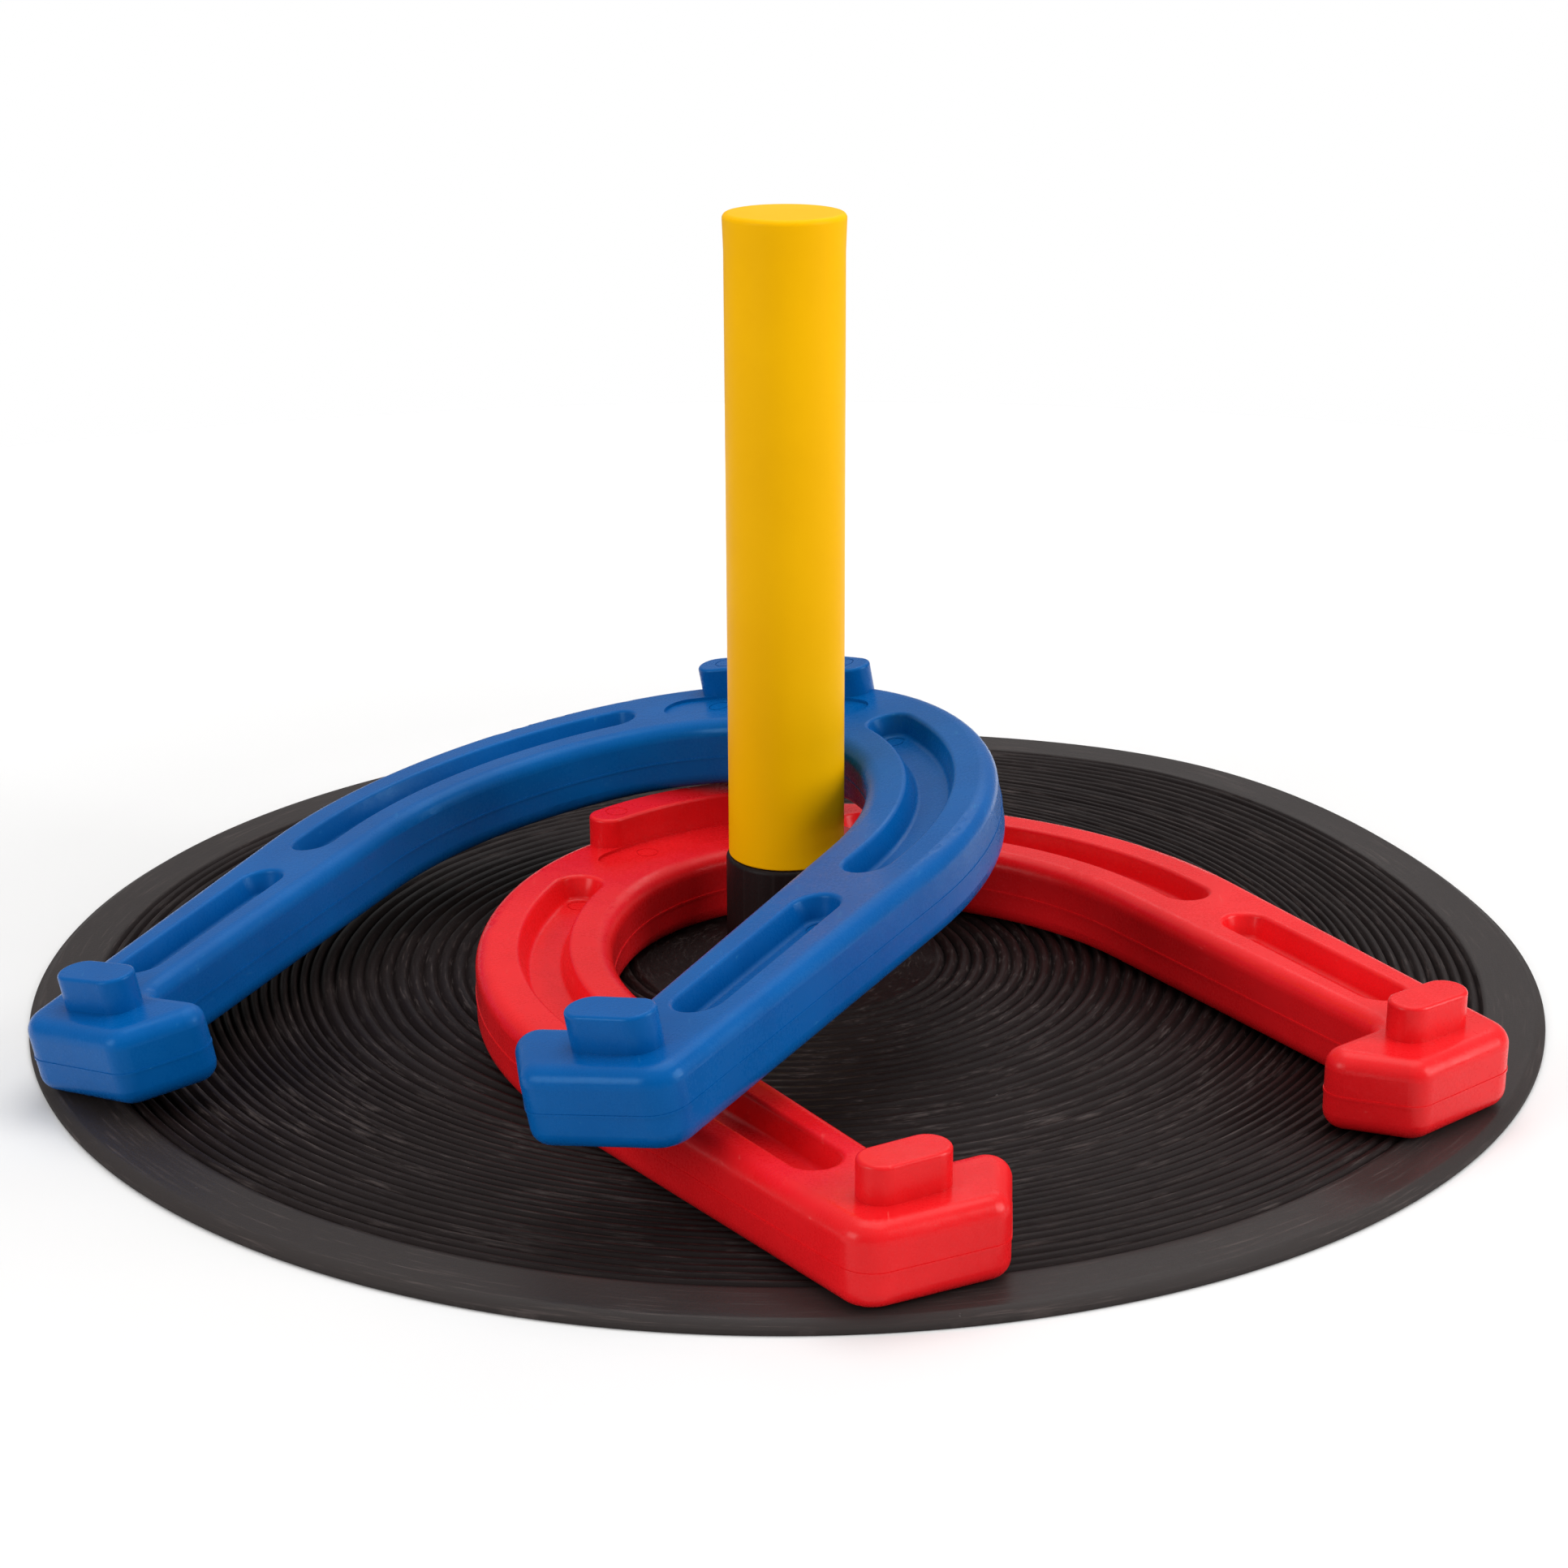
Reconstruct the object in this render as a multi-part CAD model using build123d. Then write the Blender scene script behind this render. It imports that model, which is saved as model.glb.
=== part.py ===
from build123d import *
from math import cos, degrees, radians, sin, tan
import os

# Horseshoe pitching target: a ribbed rubber mat with a stud, a hollow peg on the
# stud, and two rubber horseshoes lying round the peg. Millimetres, +Z up, with the
# origin at the centre of the mat's underside. Players stand on the -Y side.

# --- mat: one rubber moulding ---------------------------------------------------
MAT_DIAMETER = 330.0
MAT_THICKNESS = 2.5
MAT_EDGE_WALL = 1.3            # upright part of the rim, below its bevel
MAT_EDGE_BEVEL = 2.0           # plan width of the rim's bevel
RIDGE_OUTER_RADIUS = 151.0
RIDGE_INNER_RADIUS = 31.0
RIDGE_PITCH = 2.0
RIDGE_DEPTH = 0.7              # grooves are cut this deep below the mat's top
RIDGE_LAND = 0.8               # flat crest left between two grooves
STUD_DIAMETER = 26.6
STUD_TOP = 27.0
STUD_ROOT_FILLET = 2.0
STUD_EDGE_ROUND = 1.0
POST_DIAMETER = 21.2
POST_TOP = 66.0
POST_CHAMFER = 1.5
MATCH_TOLERANCE = 0.01         # two lengths closer than this count as equal

# --- peg: one hollow plastic tube, closed at the top -----------------------------
PEG_DIAMETER = 25.4
PEG_WALL = 1.8
PEG_TOP = 167.2
PEG_SEAT_GAP = 0.05            # stands this far above the stud's shoulder
PEG_CAP_THICKNESS = 2.2
PEG_FLARE = 0.3                # radius gained over the last few millimetres
PEG_FLARE_LENGTH = 8.0
PEG_RIM_ROUND = 1.2
PEG_FOOT_ROUND = 0.5

# --- horseshoe: one solid rubber moulding, drawn flat with its toe towards +Y ----
SHOE_THICKNESS = 16.4
TOE_RADIUS = 77.8              # outer edge round the toe
SIDE_RADIUS = 101.0            # outer edge along the sides, tangent to the toe's arc
TOE_SPLIT = 51.5               # degrees above the widest line where the two arcs meet
BAND_WIDTH = 29.0              # width of the body along both arcs
LEG_LEAN = 4.8                 # degrees by which each leg's outer edge leans inwards
LEG_INNER_LEAN = 0.6           # the same for its inner edge, so the legs narrow
EDGE_ROUND = 3.6               # every top and bottom edge of the body

HEEL_OUTER_Y = -120.0          # where the leg's outer edge meets its end
HEEL_INNER = (49.0, -123.5)    # plan corner between the end and the lug's side
LUG_TIP = (35.0, -105.0)       # the lug's tip, hooked in towards the other leg
LUG_ROOT_Y = -103.0            # where the lug's back runs into the leg
HEEL_OUTER_ROUND = 7.0
HEEL_INNER_ROUND = 5.0
LUG_TIP_ROUND = 4.6
LUG_ROOT_ROUND = 4.0

GROOVE_WIDTH = 10.6
GROOVE_DEPTH = 5.2
GROOVE_RIM_ROUND = 1.1
GROOVE_FLOOR_ROUND = 1.2
GROOVE_DRAFT = 18.0            # degrees, so the walls slope in towards the floor
GROOVE_FROM_TOE = 53.0         # degrees above the widest line where it starts
GROOVE_LAND = 11.0             # land left between the long and the short groove
LONG_GROOVE_END_Y = -32.0
SHORT_GROOVE_END_Y = -96.0

TOE_CAULK_LENGTH = 47.0
TOE_CAULK_WIDTH = 9.0
TOE_CAULK_HEIGHT = 6.8
TOE_CAULK_INSET = 4.9          # from the outer edge to the caulk's middle line
HEEL_CAULK_LENGTH = 18.5
HEEL_CAULK_WIDTH = 9.0
HEEL_CAULK_HEIGHT = 7.4
HEEL_CAULK_CENTRE = (62.5, -110.0)
HEEL_CAULK_TURN = 3.0          # degrees from the line across the shoe
CAULK_EDGE_ROUND = 0.8

TOE_PLATE_WIDTH = 11.0
TOE_PLATE_LENGTH = 56.0
TOE_PLATE_DEPTH = 0.7
TOE_PLATE_INSET = 15.0         # from the outer edge to the recess's middle line

PARTING_LEVEL = 7.4            # height of the mould's parting line
PARTING_THICKNESS = 0.5
PARTING_PROUD = 0.15
EJECTOR_MARK_RADIUS = 2.6      # fine rings left by the mould's ejector pins
EJECTOR_MARK_WIDTH = 0.3
EJECTOR_MARK_DEPTH = 0.15
TOE_MARK_ANGLE = 103.0         # degrees round the toe from the +X side

# --- how the two horseshoes lie round the peg ------------------------------------
REST_GAP = 0.3                 # clear space under each horseshoe
RED_CENTRE = (13.1, -21.1)
RED_TOE_HEADING = 122.8        # degrees from +X
BLUE_CENTRE = (-29.5, -4.2, 24.46)
BLUE_TOE_HEADING = 61.3
BLUE_PITCH = 1.0               # degrees about X
BLUE_ROLL = -9.93              # degrees about Y
BLUE_SCALE = 0.98              # the blue horseshoe is slightly smaller than the red one


def turned(profile_points):
    """Solid of revolution about Z from (radius, height) points, closed on the axis."""
    outline = Polyline([(radius, 0, height) for radius, height in profile_points], close=True)
    return revolve(make_face(outline), Axis.Z)


def ridge_profile():
    """Mat's top surface from the outer band in to the centre disc, as (radius, height)."""
    groove = RIDGE_PITCH - RIDGE_LAND
    count = round((RIDGE_OUTER_RADIUS - RIDGE_INNER_RADIUS) / RIDGE_PITCH)
    points = []
    for index in range(count):
        radius = RIDGE_OUTER_RADIUS - index * RIDGE_PITCH
        points.append((radius, MAT_THICKNESS))
        points.append((radius - groove / 2, MAT_THICKNESS - RIDGE_DEPTH))
        points.append((radius - groove, MAT_THICKNESS))
    return points


def make_mat():
    """Thin ribbed base, stud and the narrower post that holds the peg."""
    rim = MAT_DIAMETER / 2
    base = turned(
        [(0, 0), (rim, 0), (rim, MAT_EDGE_WALL), (rim - MAT_EDGE_BEVEL, MAT_THICKNESS)]
        + ridge_profile()
        + [(0, MAT_THICKNESS)]
    )
    stud = Pos(0, 0, MAT_EDGE_WALL) * Cylinder(
        STUD_DIAMETER / 2, STUD_TOP - MAT_EDGE_WALL, align=(Align.CENTER, Align.CENTER, Align.MIN)
    )
    stud = fillet(stud.edges().sort_by(Axis.Z)[-1], STUD_EDGE_ROUND)
    post = Pos(0, 0, MAT_EDGE_WALL) * Cylinder(
        POST_DIAMETER / 2, POST_TOP - MAT_EDGE_WALL, align=(Align.CENTER, Align.CENTER, Align.MIN)
    )
    post = chamfer(post.edges().sort_by(Axis.Z)[-1], POST_CHAMFER)
    mat = base + stud + post
    root = [
        edge
        for edge in mat.edges().filter_by(GeomType.CIRCLE)
        if abs(edge.center().Z - MAT_THICKNESS) < MATCH_TOLERANCE
        and abs(edge.radius - STUD_DIAMETER / 2) < MATCH_TOLERANCE
    ]
    return fillet(root, STUD_ROOT_FILLET)


def make_peg():
    """Hollow tube with a closed, slightly flared top and an open foot."""
    foot = STUD_TOP + PEG_SEAT_GAP
    radius = PEG_DIAMETER / 2
    bore = radius - PEG_WALL
    peg = turned(
        [
            (bore, foot),
            (radius, foot),
            (radius, PEG_TOP - PEG_FLARE_LENGTH),
            (radius + PEG_FLARE, PEG_TOP),
            (0, PEG_TOP),
            (0, PEG_TOP - PEG_CAP_THICKNESS),
            (bore, PEG_TOP - PEG_CAP_THICKNESS),
        ]
    )
    rim = peg.edges().filter_by(GeomType.CIRCLE).group_by(Axis.Z)[-1]
    peg = fillet(rim, PEG_RIM_ROUND)
    lip = peg.edges().filter_by(GeomType.CIRCLE).group_by(Axis.Z)[0].sort_by(SortBy.RADIUS)[-1]
    return fillet(lip, PEG_FOOT_ROUND)


def polar(radius, angle, centre=(0.0, 0.0)):
    """Point at an angle in degrees on a circle."""
    return (
        centre[0] + radius * cos(radians(angle)),
        centre[1] + radius * sin(radians(angle)),
    )


def side_centre():
    """Centre of the right-hand side arc, which is tangent to the toe's arc."""
    return polar(TOE_RADIUS - SIDE_RADIUS, TOE_SPLIT)


def along_leg(point, lean, y):
    """Point at height y on the straight line that leaves point and leans inwards."""
    drop = point[1] - y
    return (point[0] - drop * tan(radians(lean)), y)


def edge_line(inset, lean, end_y):
    """Right-hand edge of the body from the toe's middle down to a height y on the leg."""
    centre = side_centre()
    leg_start = polar(SIDE_RADIUS - inset, -lean, centre)
    return [
        CenterArc((0, 0), TOE_RADIUS - inset, 90, TOE_SPLIT - 90),
        CenterArc(centre, SIDE_RADIUS - inset, TOE_SPLIT, -lean - TOE_SPLIT),
        Line(leg_start, along_leg(leg_start, lean, end_y)),
    ]


def mirrored(edges):
    """The same edges on the other side of the shoe."""
    return [edge.mirror(Plane.YZ) for edge in edges]


def body_outline():
    """Closed plan outline of the body, with its heels and lugs."""
    outer = edge_line(0.0, LEG_LEAN, HEEL_OUTER_Y)
    inner = edge_line(BAND_WIDTH, LEG_INNER_LEAN, LUG_ROOT_Y)
    heel = Polyline([outer[-1] @ 1, HEEL_INNER, LUG_TIP, inner[-1] @ 1]).edges()
    right = outer + list(heel) + inner
    face = make_face(right + mirrored(right))
    rounds = (
        (tuple(outer[-1] @ 1), HEEL_OUTER_ROUND),
        (HEEL_INNER, HEEL_INNER_ROUND),
        (LUG_TIP, LUG_TIP_ROUND),
        (tuple(inner[-1] @ 1), LUG_ROOT_ROUND),
    )
    for corner, radius in rounds:
        for side in (1, -1):
            spot = Vector(side * corner[0], corner[1])
            nearest = min(face.vertices(), key=lambda vertex: (Vector(vertex) - spot).length)
            face = fillet(nearest, radius)
    return face


def band_path(start_angle, end_y):
    """Middle line of the right-hand groove from an angle at the toe to a height y."""
    inset = BAND_WIDTH / 2
    lean = (LEG_LEAN + LEG_INNER_LEAN) / 2
    centre = side_centre()
    leg_start = polar(SIDE_RADIUS - inset, -lean, centre)
    return Wire(
        [
            CenterArc((0, 0), TOE_RADIUS - inset, start_angle, TOE_SPLIT - start_angle),
            CenterArc(centre, SIDE_RADIUS - inset, TOE_SPLIT, -lean - TOE_SPLIT),
            Line(leg_start, along_leg(leg_start, lean, end_y)),
        ]
    )


def leg_path(start_y, end_y):
    """Middle line of the short straight groove between two heights y on the leg."""
    lean = (LEG_LEAN + LEG_INNER_LEAN) / 2
    leg_start = polar(SIDE_RADIUS - BAND_WIDTH / 2, -lean, side_centre())
    return Wire([Line(along_leg(leg_start, lean, start_y), along_leg(leg_start, lean, end_y))])


def groove_paths():
    """Middle lines of the long curved and the short straight groove on the right."""
    reach = GROOVE_WIDTH / 2
    long_end = LONG_GROOVE_END_Y + reach
    short_start = LONG_GROOVE_END_Y - GROOVE_LAND - reach
    return (
        band_path(GROOVE_FROM_TOE, long_end),
        leg_path(short_start, SHORT_GROOVE_END_Y + reach),
    )


def cut_grooves(shoe):
    """Two pairs of draughted grooves with rounded floors and rims."""
    top = Plane.XY.offset(SHOE_THICKNESS)
    for path in groove_paths():
        cutter = extrude(top * SlotArc(path, GROOVE_WIDTH), -GROOVE_DEPTH, taper=GROOVE_DRAFT)
        cutter = fillet(cutter.edges().group_by(Axis.Z)[0], GROOVE_FLOOR_ROUND)
        shoe -= cutter
        shoe -= cutter.mirror(Plane.YZ)
    top_face = shoe.faces().filter_by(Axis.Z).sort_by(Axis.Z)[-1]
    rims = [edge for wire in top_face.inner_wires() for edge in wire.edges()]
    return fillet(rims, GROOVE_RIM_ROUND)


def ejector_marks():
    """Fine rings sunk into the toe caulk, the toe's recess and both ends of each groove."""
    caulk = polar(TOE_RADIUS - TOE_CAULK_INSET, TOE_MARK_ANGLE)
    recess = polar(TOE_RADIUS - TOE_PLATE_INSET, TOE_MARK_ANGLE)
    spots = [
        (*caulk, SHOE_THICKNESS + TOE_CAULK_HEIGHT),
        (*recess, SHOE_THICKNESS - TOE_PLATE_DEPTH),
    ]
    for path in groove_paths():
        for end in (path @ 0, path @ 1):
            spots.append((end.X, end.Y, SHOE_THICKNESS - GROOVE_DEPTH))
    ring = Circle(EJECTOR_MARK_RADIUS) - Circle(EJECTOR_MARK_RADIUS - EJECTOR_MARK_WIDTH)
    marks = []
    for x, y, z in spots:
        mark = Pos(x, y, z) * extrude(ring, EJECTOR_MARK_DEPTH, both=True)
        marks += [mark, mark.mirror(Plane.YZ)]
    return marks


def bar_along_toe(inset, length, width):
    """Slot-shaped plan of a bar that follows the toe's edge."""
    radius = TOE_RADIUS - inset
    sweep = degrees((length - width) / radius)
    return SlotArc(CenterArc((0, 0), radius, 90 - sweep / 2, sweep), width)


def make_caulks():
    """Raised toe bar and the two heel bars that stand on the top face."""
    top = Plane.XY.offset(SHOE_THICKNESS - EDGE_ROUND)
    toe = extrude(
        top * bar_along_toe(TOE_CAULK_INSET, TOE_CAULK_LENGTH, TOE_CAULK_WIDTH),
        TOE_CAULK_HEIGHT + EDGE_ROUND,
    )
    bars = [toe]
    for side in (1, -1):
        place = Pos(side * HEEL_CAULK_CENTRE[0], HEEL_CAULK_CENTRE[1]) * Rot(0, 0, side * HEEL_CAULK_TURN)
        plan = top * place * SlotOverall(HEEL_CAULK_LENGTH, HEEL_CAULK_WIDTH)
        bars.append(extrude(plan, HEEL_CAULK_HEIGHT + EDGE_ROUND))
    return [fillet(bar.edges().group_by(Axis.Z)[-1], CAULK_EDGE_ROUND) for bar in bars]


def make_horseshoe():
    """One horseshoe lying flat with its underside at z = 0 and its toe towards +Y."""
    outline = body_outline()
    body = extrude(outline, SHOE_THICKNESS)
    ends = body.edges().group_by(Axis.Z)
    shoe = cut_grooves(fillet(ends[0] + ends[-1], EDGE_ROUND))
    recess = bar_along_toe(TOE_PLATE_INSET, TOE_PLATE_LENGTH, TOE_PLATE_WIDTH)
    shoe -= extrude(Plane.XY.offset(SHOE_THICKNESS) * recess, -TOE_PLATE_DEPTH)
    for bar in make_caulks():
        shoe += bar
    bead = Plane.XY.offset(PARTING_LEVEL) * offset(outline, PARTING_PROUD)
    shoe += extrude(bead, PARTING_THICKNESS)
    for mark in ejector_marks():
        shoe -= mark
    return shoe


def lay_red(shoe):
    """Flat on the mat."""
    height = MAT_THICKNESS + REST_GAP
    return Pos(*RED_CENTRE, height) * Rot(0, 0, RED_TOE_HEADING - 90) * shoe


def lay_blue(shoe):
    """Leaning: one heel down on the mat, the toe on the red horseshoe's toe caulk."""
    place = Pos(*BLUE_CENTRE) * Rot(BLUE_PITCH, BLUE_ROLL, 0) * Rot(0, 0, BLUE_TOE_HEADING - 90)
    return place * scale(shoe, by=BLUE_SCALE)


def main():
    shoe = make_horseshoe()
    nodes = {
        "target_mat": make_mat(),
        "peg": make_peg(),
        "red_horseshoe": lay_red(shoe),
        "blue_horseshoe": lay_blue(shoe),
    }
    os.makedirs("parts", exist_ok=True)
    for name, solid in nodes.items():
        export_step(solid, f"parts/{name}.step")


main()
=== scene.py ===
from math import cos, pi, radians, sin

import bpy
from mathutils import Matrix, Vector, noise

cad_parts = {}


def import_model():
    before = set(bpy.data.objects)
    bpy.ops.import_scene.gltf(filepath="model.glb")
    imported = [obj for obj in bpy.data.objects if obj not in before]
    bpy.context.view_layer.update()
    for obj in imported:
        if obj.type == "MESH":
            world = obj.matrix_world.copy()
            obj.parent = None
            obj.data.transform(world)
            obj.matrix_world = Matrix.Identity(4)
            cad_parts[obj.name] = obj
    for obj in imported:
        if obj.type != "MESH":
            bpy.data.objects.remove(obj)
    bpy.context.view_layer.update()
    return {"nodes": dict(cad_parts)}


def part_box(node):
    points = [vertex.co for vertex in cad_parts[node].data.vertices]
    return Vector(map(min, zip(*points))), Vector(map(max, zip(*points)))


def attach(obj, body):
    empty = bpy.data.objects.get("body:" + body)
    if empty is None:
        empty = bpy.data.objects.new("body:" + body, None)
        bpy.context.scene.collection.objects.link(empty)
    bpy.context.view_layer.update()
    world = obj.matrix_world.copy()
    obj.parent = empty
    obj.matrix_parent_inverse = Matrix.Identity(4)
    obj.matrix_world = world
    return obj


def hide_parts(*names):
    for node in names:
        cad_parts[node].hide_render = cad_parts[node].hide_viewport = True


# Metres throughout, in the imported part's frame: +Z up, players and camera on the -Y side.
MM = 0.001

# --- camera -----------------------------------------------------------------------
CAMERA_PLACE = (-0.0005, -0.6042, 0.2518)
CAMERA_DOWN = 19.08            # degrees below the horizon
CAMERA_ROLL = -0.2             # degrees
CAMERA_LENS = 66.9             # millimetres
CAMERA_SENSOR = 36.0           # millimetres
CAMERA_NEAREST = 10 * MM

# --- floor, world and lamps -------------------------------------------------------
FLOOR_RADIUS = 0.62            # the white backdrop shows beyond it
FLOOR_STEPS = 96
WORLD_LOW = 0.32               # world strength round the horizon
WORLD_HIGH = 1.00              # world strength overhead
WORLD_RISE = (0.40, 0.92)      # Z of a direction, from the low strength to the high
WORLD_SEEN = 1.0               # white backdrop, as the camera sees it
WHITE = (1.0, 1.0, 1.0, 1.0)
LAMPS = {
    "overhead": {"place": (0.15, 0.30, 1.5), "aim": (0, 0, 0), "size": (1.2, 1.2), "watts": 9.0},
    "right": {"place": (1.3, -0.35, 0.62), "aim": (0, 0, 0.08), "size": (0.7, 0.9), "watts": 13.0},
    "left": {"place": (-1.2, -0.8, 0.55), "aim": (0, 0, 0.05), "size": (0.7, 0.7), "watts": 8.0},
    "behind": {"place": (0.45, 1.25, 0.95), "aim": (0, 0, 0.05), "size": (0.9, 0.25), "watts": 1.0},
}

# --- horseshoe rubber: main and deeper tone, scuffs, tint of the highlights -------
RED = {
    "colour": (0.76, 0.010, 0.014),
    "deep": (0.68, 0.007, 0.010),
    "scuffed": (0.88, 0.14, 0.12),
    "glint": (1.0, 0.85, 0.82),
}
BLUE = {
    "colour": (0.0, 0.090, 0.325),
    "deep": (0.0, 0.076, 0.285),
    "scuffed": (0.05, 0.25, 0.47),
    "glint": (0.30, 0.66, 1.0),
}

# --- peg plastic and mat rubber ---------------------------------------------------
YELLOW = (0.95, 0.495, 0.0)
YELLOW_DEEP = (0.91, 0.465, 0.0)
BLACK_DEEP = (0.0075, 0.0036, 0.0034)
BLACK = (0.0120, 0.0070, 0.0067)
# painted sheen: the smooth outer band gets a paler black that stands in for its brighter reflection
BLACK_BAND_SHEEN = (0.030, 0.0245, 0.0235)
RUBBED = (0.085, 0.067, 0.063)
SPECK = (0.13, 0.12, 0.12)
BAND_POLISH = 0.18             # how much less rough the mat's outer band is
BAND_BLEND = 1.0 * MM          # width over which the ribbed looks turn into the band's
GROOVE_DULL = 0.36             # how much rougher the mat is in its grooves than on its crests

# --- floor colours ----------------------------------------------------------------
FLOOR_NEAR = (0.755, 0.750, 0.747)
FLOOR_CLOUD = (0.765, 0.762, 0.760)
# painted light: the far floor colour is paler to make up for the lamp light that falls off away
# from the set
FLOOR_FAR = (0.93, 0.93, 0.93)
FLOOR_FADE = (0.20, 0.50)      # metres from the middle, from the near colours to the far one

# --- ranges that the materials share ----------------------------------------------
UNIT = (0.0, 1.0)
NOISE_MIDDLE = (0.35, 0.65)    # most of a noise texture's values lie between these

# --- the mat's mesh ---------------------------------------------------------------
MAT_STEPS = 480                # vertices round each ring
MAT_TOP = 2.5 * MM
RIM_FOOT_CHAMFER = 0.3 * MM
RIM_WALL = 1.3 * MM
RIM_CORNER = 0.2 * MM          # softening where the wall meets the bevel
RIM_BEVEL = 2.0 * MM
BEVEL_TOP_DROP = 0.06 * MM     # the bevel eases into the flat top over this height
BEVEL_TOP_RUN = 0.5 * MM       # and this width
BAND_STEPS = 5                 # mesh rings across the smooth outer band
BAND_MARGIN = 0.4 * MM         # from the band's last mesh ring to the first groove
SAME_HEIGHT = 0.01 * MM        # heights closer than this count as equal
# Ridges come in bands of their own spacing: outer radius, inner radius, pitch.
RIDGE_BANDS = (
    (152.0 * MM, 132.0 * MM, 2.5 * MM),
    (132.0 * MM, 104.4 * MM, 2.12 * MM),
    (104.4 * MM, 62.8 * MM, 3.2 * MM),
    (62.8 * MM, 33.0 * MM, 2.98 * MM),
)
RIDGES_OUTER = RIDGE_BANDS[0][0]
RIDGES_INNER = RIDGE_BANDS[-1][1]
GROOVE_SHARE = 0.50            # part of each pitch that is groove
GROOVE_DEPTH = 1.35 * MM
DEPTH_MIDDLE = 0.8             # grooves are cut to this share of GROOVE_DEPTH,
DEPTH_SPREAD = 0.4             # give or take up to this much of it
CREST_START = 0.25             # the crest is level between these parts of the land
CREST_END = 0.75
CREST_RISE = 0.16 * MM
EDGE_DROP = 0.05 * MM
RING_WOBBLE = 0.26 * MM
RING_UNEVEN = 0.16 * MM
SMOOTH_WAVE = 0.12 * MM        # on the outer band and the centre disc
# Noise is read round a circle, and a larger CIRCLE gives more waves round the mat. STEP is the
# distance in the noise from one ring to the next or, for WAVE, for each metre of radius.
WOBBLE_CIRCLE = 2.6
WOBBLE_STEP = 0.31
UNEVEN_CIRCLE = 5.0
UNEVEN_STEP = 2.3
WAVE_CIRCLE = 7.0
WAVE_STEP = 90.0
DEPTH_STEP = 1.7
DEPTH_OFFSET = 0.3
WARP_HEIGHT = 3.2 * MM         # the back right of the rim has curled up
WARP_MIDDLE = 46.0             # degrees round from +X
WARP_REACH = 36.0              # degrees to either side
WARP_START = 110.0 * MM        # it rises between these two radii
WARP_END = 165.0 * MM
STUD_RADIUS = 13.3 * MM
STUD_TOP = 27.0 * MM
STUD_ROOT = 2.0 * MM
STUD_ROUND = 1.0 * MM
POST_RADIUS = 10.6 * MM
POST_TOP = 66.0 * MM
POST_CHAMFER = 1.5 * MM
ARC_STEPS = 5                  # mesh steps in each rounded corner
SHARP_ANGLE = 62               # degrees between faces, above which an edge stays sharp


# --- node helpers -----------------------------------------------------------------
def new_material(name):
    material = bpy.data.materials.new(name)
    material.use_nodes = True
    tree = material.node_tree
    return material, tree, tree.nodes["Principled BSDF"]


def add_node(tree, kind, **settings):
    node = tree.nodes.new(kind)
    for key, value in settings.items():
        setattr(node, key, value)
    return node


def noise_texture(tree, where, scale, detail, roughness):
    node = add_node(tree, "ShaderNodeTexNoise")
    node.inputs["Scale"].default_value = scale
    node.inputs["Detail"].default_value = detail
    node.inputs["Roughness"].default_value = roughness
    tree.links.new(where, node.inputs["Vector"])
    return node.outputs["Fac"]


def mapped(tree, value, from_range, to_range):
    """Value taken from one (low, high) range to another, and held inside it."""
    node = add_node(tree, "ShaderNodeMapRange")
    node.inputs["From Min"].default_value, node.inputs["From Max"].default_value = from_range
    node.inputs["To Min"].default_value, node.inputs["To Max"].default_value = to_range
    tree.links.new(value, node.inputs["Value"])
    return node.outputs["Result"]


def combined(tree, operation, first, second):
    """Math node on two values, each a socket or a plain number."""
    node = add_node(tree, "ShaderNodeMath", operation=operation)
    for index, value in enumerate((first, second)):
        if isinstance(value, (int, float)):
            node.inputs[index].default_value = value
        else:
            tree.links.new(value, node.inputs[index])
    return node.outputs["Value"]


def mixed_colour(tree, factor, first, second):
    """Mix of two colours, each a socket or an (r, g, b)."""
    node = add_node(tree, "ShaderNodeMix", data_type="RGBA")
    for name, colour in (("A", first), ("B", second)):
        socket = [s for s in node.inputs if s.name == name and s.type == "RGBA"][0]
        if isinstance(colour, tuple):
            socket.default_value = (*colour, 1.0)
        else:
            tree.links.new(colour, socket)
    tree.links.new(factor, node.inputs["Factor"])
    return [s for s in node.outputs if s.type == "RGBA"][0]


def bump(tree, height, strength, distance, normal=None):
    """Bump whose strength is a socket or a plain number, over an optional earlier bump."""
    node = add_node(tree, "ShaderNodeBump")
    node.inputs["Distance"].default_value = distance
    if isinstance(strength, (int, float)):
        node.inputs["Strength"].default_value = strength
    else:
        tree.links.new(strength, node.inputs["Strength"])
    tree.links.new(height, node.inputs["Height"])
    if normal is not None:
        tree.links.new(normal, node.inputs["Normal"])
    return node.outputs["Normal"]


def object_coordinates(tree):
    return add_node(tree, "ShaderNodeTexCoord").outputs["Object"]


def split(tree, vector):
    node = add_node(tree, "ShaderNodeSeparateXYZ")
    tree.links.new(vector, node.inputs["Vector"])
    return node.outputs


def length(tree, vector):
    node = add_node(tree, "ShaderNodeVectorMath", operation="LENGTH")
    tree.links.new(vector, node.inputs[0])
    return node.outputs["Value"]


def stretched(tree, where, factors):
    """Coordinates multiplied axis by axis, for streaks along one direction."""
    node = add_node(tree, "ShaderNodeVectorMath", operation="MULTIPLY")
    node.inputs[1].default_value = factors
    tree.links.new(where, node.inputs[0])
    return node.outputs["Vector"]


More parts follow.
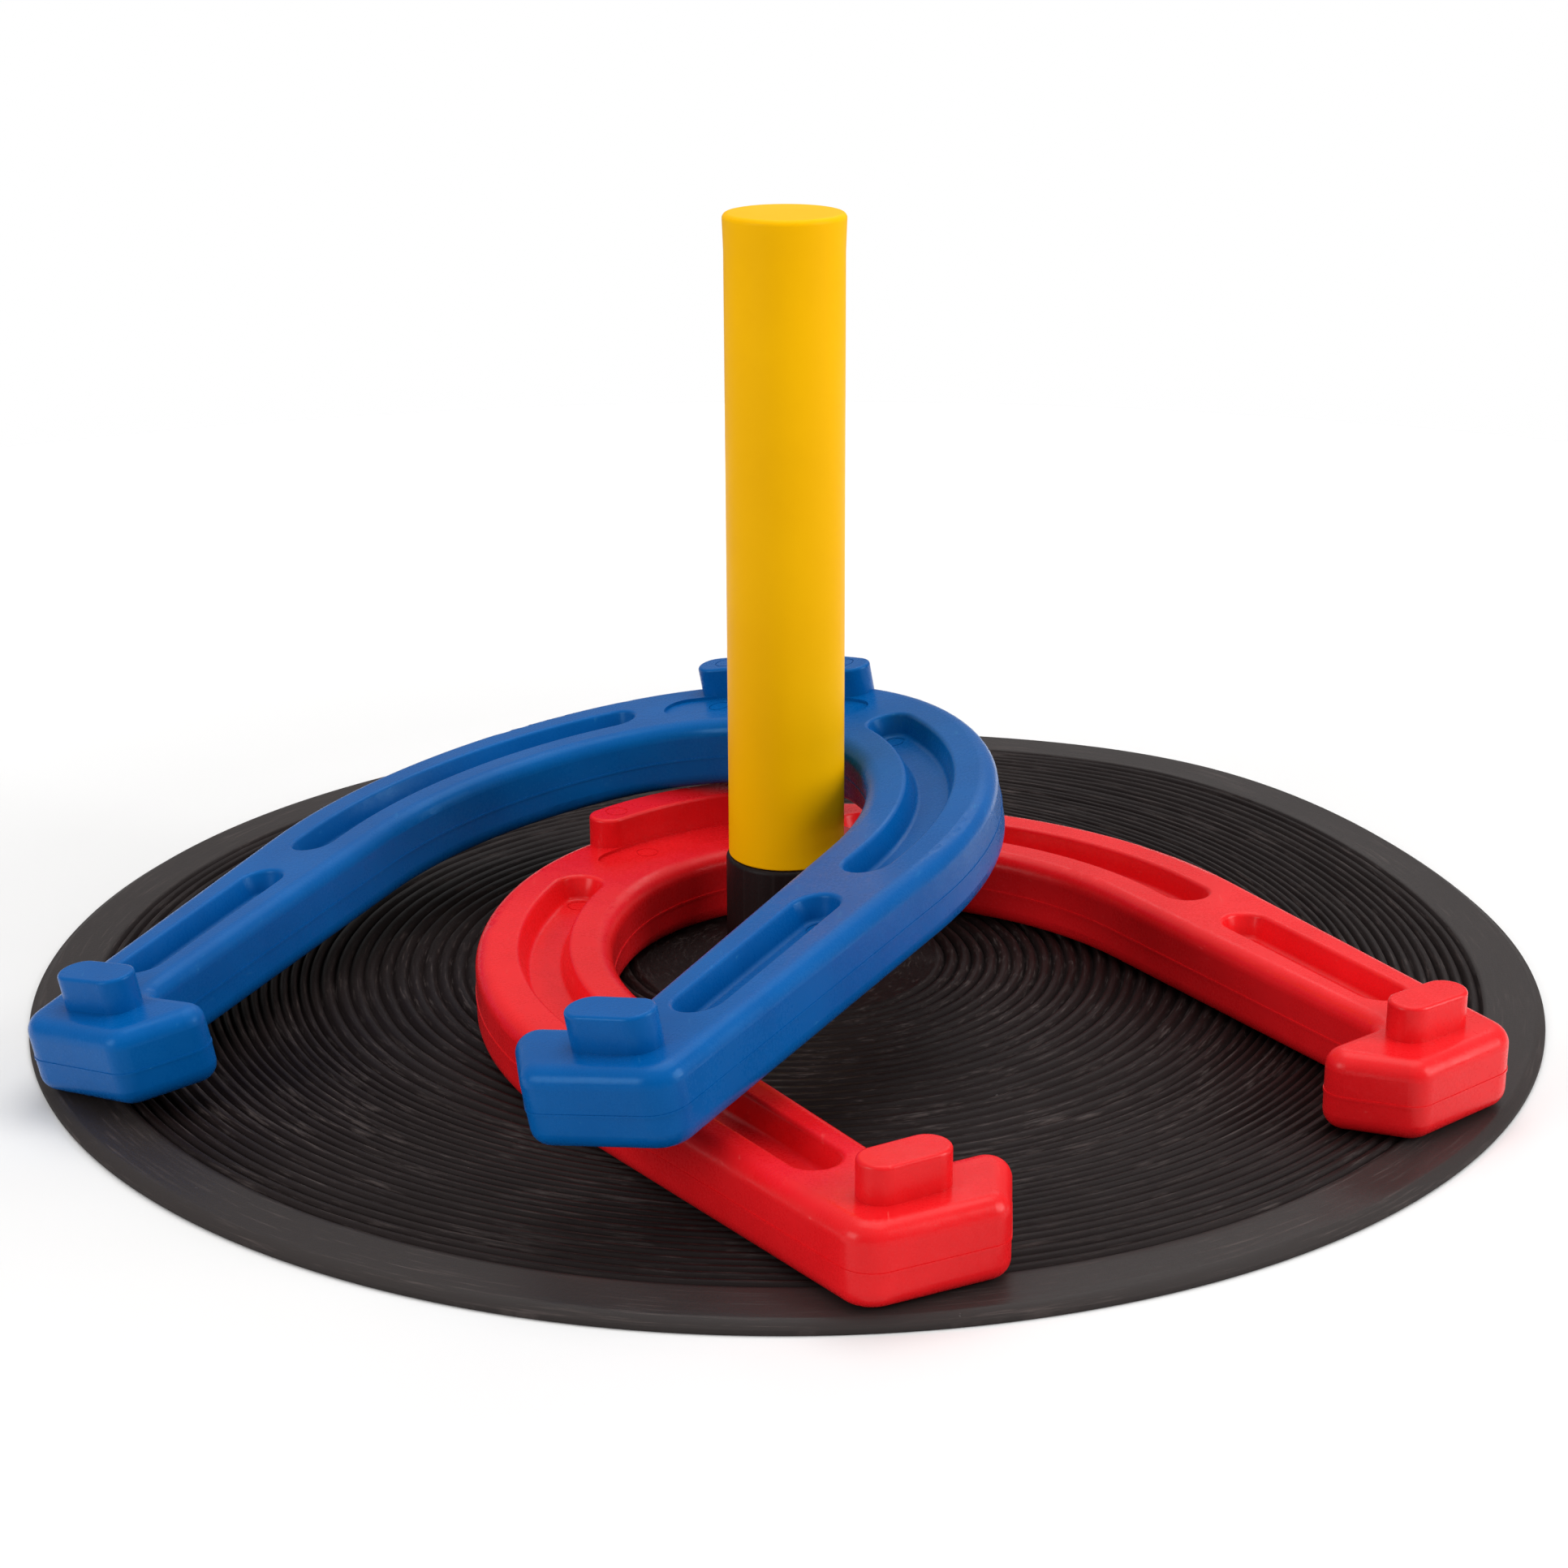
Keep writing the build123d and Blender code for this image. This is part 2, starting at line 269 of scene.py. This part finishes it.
def ring_coordinates(tree, where, along, across):
    """Seamless coordinates that run slowly round the Z axis and fast outwards from it,
    and the distance from that axis."""
    flat = stretched(tree, where, (1.0, 1.0, 0.0))
    distance = length(tree, flat)
    unit = add_node(tree, "ShaderNodeVectorMath", operation="NORMALIZE")
    tree.links.new(flat, unit.inputs[0])
    parts = split(tree, unit.outputs["Vector"])
    joined = add_node(tree, "ShaderNodeCombineXYZ")
    tree.links.new(combined(tree, "MULTIPLY", parts["X"], along), joined.inputs["X"])
    tree.links.new(combined(tree, "MULTIPLY", parts["Y"], along), joined.inputs["Y"])
    tree.links.new(combined(tree, "MULTIPLY", distance, across), joined.inputs["Z"])
    return joined.outputs["Vector"], distance


# --- materials --------------------------------------------------------------------
def moulded_rubber(name, colour, deep, scuffed, glint):
    """Semi-gloss moulded rubber: mottling, a fine grain that glints, soft waves, faint scuffs."""
    material, tree, shader = new_material(name)
    where = object_coordinates(tree)
    streaky = stretched(tree, where, (1.0, 0.12, 1.0))
    mottle = noise_texture(tree, where, scale=38.0, detail=4.0, roughness=0.6)
    patches = noise_texture(tree, where, scale=90.0, detail=3.0, roughness=0.6)
    grain = noise_texture(tree, where, scale=1500.0, detail=2.0, roughness=0.7)
    ripple = noise_texture(tree, where, scale=140.0, detail=2.0, roughness=0.5)
    scratches = noise_texture(tree, streaky, scale=900.0, detail=2.0, roughness=0.5)

    body = mixed_colour(tree, mapped(tree, mottle, NOISE_MIDDLE, UNIT), colour, deep)
    scratched = mapped(tree, scratches, (0.68, 0.80), (0.0, 0.45))
    scratched_here = mapped(tree, patches, (0.50, 0.62), UNIT)
    worn = combined(tree, "MULTIPLY", scratched, scratched_here)
    tree.links.new(mixed_colour(tree, worn, body, scuffed), shader.inputs["Base Color"])

    polish = mapped(tree, patches, NOISE_MIDDLE, (0.24, 0.34))
    speckle = mapped(tree, grain, (0.40, 0.66), (-0.04, 0.06))
    tree.links.new(combined(tree, "ADD", polish, speckle), shader.inputs["Roughness"])

    sparkle = mapped(tree, patches, (0.42, 0.62), (0.10, 0.30))
    fine = bump(tree, grain, strength=sparkle, distance=0.10 * MM)
    wavy = bump(tree, ripple, strength=0.30, distance=0.35 * MM, normal=fine)
    tree.links.new(wavy, shader.inputs["Normal"])
    shader.inputs["Specular IOR Level"].default_value = 0.23
    shader.inputs["Specular Tint"].default_value = (*glint, 1.0)
    return material


def yellow_plastic():
    """Smooth extruded plastic: faint lengthwise draw lines and a very fine grain."""
    material, tree, shader = new_material("yellow_plastic")
    where = object_coordinates(tree)
    lengthwise = stretched(tree, where, (1.0, 1.0, 0.02))
    mottle = noise_texture(tree, where, scale=30.0, detail=3.0, roughness=0.5)
    grain = noise_texture(tree, where, scale=1200.0, detail=2.0, roughness=0.5)
    drawn = noise_texture(tree, lengthwise, scale=700.0, detail=2.0, roughness=0.5)

    paint = mixed_colour(tree, mapped(tree, mottle, NOISE_MIDDLE, UNIT), YELLOW, YELLOW_DEEP)
    tree.links.new(paint, shader.inputs["Base Color"])
    tree.links.new(mapped(tree, mottle, (0.3, 0.7), (0.36, 0.44)), shader.inputs["Roughness"])
    lines = bump(tree, drawn, strength=0.10, distance=0.06 * MM)
    fine = bump(tree, grain, strength=0.12, distance=0.06 * MM, normal=lines)
    tree.links.new(fine, shader.inputs["Normal"])
    shader.inputs["Specular IOR Level"].default_value = 0.05
    return material


def black_rubber():
    """Dull black rubber with pale rubbed dashes that follow the rings. The crests are smoother
    than the grooves; the outer band is smoother than both, with a painted sheen that makes it
    paler."""
    material, tree, shader = new_material("black_rubber")
    where = object_coordinates(tree)
    rings, distance = ring_coordinates(tree, where, along=9.0, across=1500.0)
    mottle = noise_texture(tree, where, scale=30.0, detail=5.0, roughness=0.62)
    grain = noise_texture(tree, where, scale=1300.0, detail=3.0, roughness=0.6)
    dashes = noise_texture(tree, rings, scale=1.0, detail=4.0, roughness=0.7)
    crumbs = noise_texture(tree, where, scale=420.0, detail=3.0, roughness=0.7)

    band = mapped(tree, distance, (RIDGES_OUTER, RIDGES_OUTER + BAND_BLEND), UNIT)
    ribbed = mixed_colour(tree, mapped(tree, mottle, (0.35, 0.7), UNIT), BLACK_DEEP, BLACK)
    # painted sheen on the outer band: its paler colour stands in for the brighter reflection of its
    # smooth top
    body = mixed_colour(tree, band, ribbed, BLACK_BAND_SHEEN)
    dashed = mapped(tree, dashes, (0.54, 0.72), (0.0, 0.85))
    dashed_here = mapped(tree, mottle, (0.40, 0.60), (0.25, 1.0))
    dusty = mixed_colour(tree, combined(tree, "MULTIPLY", dashed, dashed_here), body, RUBBED)
    specked = mapped(tree, crumbs, (0.735, 0.78), (0.0, 0.5))
    tree.links.new(mixed_colour(tree, specked, dusty, SPECK), shader.inputs["Base Color"])

    height = split(tree, where)["Z"]
    in_groove = mapped(tree, height, (MAT_TOP - MM, MAT_TOP + CREST_RISE), (GROOVE_DULL, 0.0))
    streaked = mapped(tree, dashes, (0.35, 0.7), (0.44, 0.60))
    ridged = combined(tree, "ADD", in_groove, streaked)
    smoother = combined(tree, "MULTIPLY", band, BAND_POLISH)
    tree.links.new(combined(tree, "SUBTRACT", ridged, smoother), shader.inputs["Roughness"])
    shader.inputs["Specular IOR Level"].default_value = 0.14
    tree.links.new(bump(tree, grain, strength=0.40, distance=0.10 * MM), shader.inputs["Normal"])
    return material


def pale_floor():
    """Matt pale floor with painted light: lighter far from the set, where less lamp light falls, so
    its edge fades into the white backdrop.
    """
    material, tree, shader = new_material("pale_floor")
    where = object_coordinates(tree)
    cloud = noise_texture(tree, where, scale=3.0, detail=2.0, roughness=0.5)
    near = mixed_colour(tree, cloud, FLOOR_NEAR, FLOOR_CLOUD)
    # painted light: paler towards the floor's edge, where less lamp light falls
    far = mapped(tree, length(tree, where), FLOOR_FADE, UNIT)
    tree.links.new(mixed_colour(tree, far, near, FLOOR_FAR), shader.inputs["Base Color"])
    shader.inputs["Roughness"].default_value = 0.7
    shader.inputs["Specular IOR Level"].default_value = 0.1
    return material


# --- the mat ----------------------------------------------------------------------
def smooth_step(value):
    value = min(max(value, 0.0), 1.0)
    return value * value * (3.0 - 2.0 * value)


def groove_depth(ring):
    """Depth of one ring's groove: no two are cut quite alike."""
    chance = noise.noise(Vector((ring * DEPTH_STEP, DEPTH_OFFSET, 0.0)))
    return GROOVE_DEPTH * (DEPTH_MIDDLE + DEPTH_SPREAD * chance)


def ridge_profile():
    """(radius, height, ring number) from the outermost groove inwards."""
    points = []
    ring = 0
    for outer, inner, pitch in RIDGE_BANDS:
        groove = pitch * GROOVE_SHARE
        land = pitch - groove
        for index in range(round((outer - inner) / pitch)):
            ring += 1
            start = outer - index * pitch
            points += [
                (start, MAT_TOP - EDGE_DROP, ring),
                (start - groove / 2, MAT_TOP - groove_depth(ring), ring),
                (start - groove, MAT_TOP - EDGE_DROP, ring),
                (start - groove - land * CREST_START, MAT_TOP + CREST_RISE, ring),
                (start - groove - land * CREST_END, MAT_TOP + CREST_RISE, ring),
            ]
    return points


def arc_profile(centre_radius, centre_height, radius, start, end):
    """Rounded corner of a turned profile; angles in degrees."""
    points = []
    for index in range(ARC_STEPS + 1):
        angle = radians(start + (end - start) * index / ARC_STEPS)
        points.append((centre_radius + radius * cos(angle), centre_height + radius * sin(angle), 0))
    return points


def rim_profile(rim):
    """Underside, outer wall and bevel, then the smooth band as far as the first groove."""
    band_start = rim - RIM_BEVEL
    points = [
        (rim / 2, 0.0, 0),
        (rim - RIM_FOOT_CHAMFER, 0.0, 0),
        (rim, RIM_FOOT_CHAMFER, 0),
        (rim, RIM_WALL - RIM_CORNER, 0),
        (rim - RIM_CORNER, RIM_WALL, 0),
        (band_start, MAT_TOP - BEVEL_TOP_DROP, 0),
        (band_start - BEVEL_TOP_RUN, MAT_TOP, 0),
    ]
    band_width = band_start - RIDGES_OUTER - BAND_MARGIN
    for index in range(1, BAND_STEPS + 1):
        points.append((band_start - band_width * index / BAND_STEPS, MAT_TOP, 0))
    return points


def stud_profile():
    """Smooth centre disc, the stud with its rounded root and edge, and the post on top."""
    return [
        (RIDGES_INNER, MAT_TOP, 0),
        ((RIDGES_INNER + STUD_RADIUS) / 2, MAT_TOP, 0),
        *arc_profile(STUD_RADIUS + STUD_ROOT, MAT_TOP + STUD_ROOT, STUD_ROOT, 270, 180),
        *arc_profile(STUD_RADIUS - STUD_ROUND, STUD_TOP - STUD_ROUND, STUD_ROUND, 0, 90),
        (POST_RADIUS, STUD_TOP, 0),
        (POST_RADIUS, POST_TOP - POST_CHAMFER, 0),
        (POST_RADIUS - POST_CHAMFER, POST_TOP, 0),
    ]


def warp(radius, angle):
    """How far the curled back right of the rim stands off the floor."""
    away = abs((angle - radians(WARP_MIDDLE) + pi) % (2 * pi) - pi) / radians(WARP_REACH)
    outwards = smooth_step((radius - WARP_START) / (WARP_END - WARP_START))
    return WARP_HEIGHT * smooth_step(1.0 - away) * outwards


def wave(around, circle, along):
    """Noise between -1 and 1 that closes on itself round the mat."""
    return noise.noise(around * circle + Vector((0, 0, along)))


def mat_vertex(radius, height, ring, angle, smooth_top):
    """One vertex: rings wander and vary in height, and the smooth top is faintly wavy."""
    around = Vector((cos(angle), sin(angle), 0.0))
    if ring:
        radius += RING_WOBBLE * wave(around, WOBBLE_CIRCLE, ring * WOBBLE_STEP)
        height += RING_UNEVEN * wave(around, UNEVEN_CIRCLE, ring * UNEVEN_STEP)
    elif smooth_top:
        height += SMOOTH_WAVE * wave(around, WAVE_CIRCLE, radius * WAVE_STEP)
    height += warp(radius, angle)
    return (radius * around.x, radius * around.y, height)


def make_mat(rim):
    """The whole mat as one closed turned mesh, from its underside round to the post's top."""
    profile = rim_profile(rim) + ridge_profile() + stud_profile()
    vertices = []
    for radius, height, ring in profile:
        smooth_top = abs(height - MAT_TOP) < SAME_HEIGHT and radius > STUD_RADIUS + 2 * STUD_ROOT
        for step in range(MAT_STEPS):
            vertices.append(mat_vertex(radius, height, ring, 2 * pi * step / MAT_STEPS, smooth_top))
    faces = []
    for row in range(len(profile) - 1):
        here = row * MAT_STEPS
        there = here + MAT_STEPS
        for step in range(MAT_STEPS):
            after = (step + 1) % MAT_STEPS
            faces.append((here + step, here + after, there + after, there + step))
    under_middle = len(vertices)
    post_middle = under_middle + 1
    vertices += [(0.0, 0.0, 0.0), (0.0, 0.0, POST_TOP)]
    last = (len(profile) - 1) * MAT_STEPS
    for step in range(MAT_STEPS):
        after = (step + 1) % MAT_STEPS
        faces.append((under_middle, after, step))
        faces.append((post_middle, last + step, last + after))
    mesh = bpy.data.meshes.new("ribbed_mat")
    mesh.from_pydata(vertices, [], faces)
    mesh.validate()
    mesh.shade_smooth()
    mesh.set_sharp_from_angle(angle=radians(SHARP_ANGLE))
    mat = bpy.data.objects.new("ribbed_mat", mesh)
    bpy.context.scene.collection.objects.link(mat)
    return mat


# --- set --------------------------------------------------------------------------
def make_floor():
    """Round floor, one flat face."""
    mesh = bpy.data.meshes.new("floor")
    turns = [2 * pi * step / FLOOR_STEPS for step in range(FLOOR_STEPS)]
    edge = [(FLOOR_RADIUS * cos(turn), FLOOR_RADIUS * sin(turn), 0.0) for turn in turns]
    mesh.from_pydata(edge, [], [tuple(range(FLOOR_STEPS))])
    floor = bpy.data.objects.new("floor", mesh)
    bpy.context.scene.collection.objects.link(floor)
    floor.data.materials.append(pale_floor())


def make_lamp(name, place, aim, size, watts):
    data = bpy.data.lights.new(name, "AREA")
    data.shape = "RECTANGLE"
    data.size, data.size_y = size
    data.energy = watts
    lamp = bpy.data.objects.new(name, data)
    lamp.location = place
    direction = Vector(aim) - Vector(place)
    lamp.rotation_euler = direction.to_track_quat("-Z", "Y").to_euler()
    bpy.context.scene.collection.objects.link(lamp)


def make_world():
    """White studio: bright overhead, dimmer round the horizon, with a plain white backdrop."""
    world = bpy.data.worlds.new("studio")
    bpy.context.scene.world = world
    world.use_nodes = True
    tree = world.node_tree
    direction = add_node(tree, "ShaderNodeTexCoord").outputs["Generated"]
    glow = mapped(tree, split(tree, direction)["Z"], WORLD_RISE, (WORLD_LOW, WORLD_HIGH))
    seen = add_node(tree, "ShaderNodeLightPath").outputs["Is Camera Ray"]
    strength = add_node(tree, "ShaderNodeMix", data_type="FLOAT")
    strength.inputs["B"].default_value = WORLD_SEEN
    tree.links.new(seen, strength.inputs["Factor"])
    tree.links.new(glow, strength.inputs["A"])
    background = tree.nodes["Background"]
    background.inputs["Color"].default_value = WHITE
    tree.links.new(strength.outputs["Result"], background.inputs["Strength"])


def make_camera():
    data = bpy.data.cameras.new("camera")
    data.sensor_width = CAMERA_SENSOR
    data.lens = CAMERA_LENS
    data.clip_start = CAMERA_NEAREST
    camera = bpy.data.objects.new("camera", data)
    tilt = Matrix.Rotation(radians(90 - CAMERA_DOWN), 4, "X")
    roll = Matrix.Rotation(radians(CAMERA_ROLL), 4, "Z")
    camera.matrix_world = Matrix.Translation(CAMERA_PLACE) @ tilt @ roll
    bpy.context.scene.collection.objects.link(camera)
    bpy.context.scene.camera = camera


def dress(piece, material):
    piece.data.materials.clear()
    piece.data.materials.append(material)


def main():
    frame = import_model()
    nodes = frame["nodes"]
    mat = make_mat(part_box("target_mat")[1][0])
    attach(mat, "target_mat")
    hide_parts("target_mat")
    dress(mat, black_rubber())
    dress(nodes["peg"], yellow_plastic())
    dress(nodes["red_horseshoe"], moulded_rubber("red_rubber", **RED))
    dress(nodes["blue_horseshoe"], moulded_rubber("blue_rubber", **BLUE))
    make_floor()
    make_world()
    for name, lamp in LAMPS.items():
        make_lamp(name, **lamp)
    make_camera()
    bpy.context.scene.view_settings.view_transform = "Standard"


main()
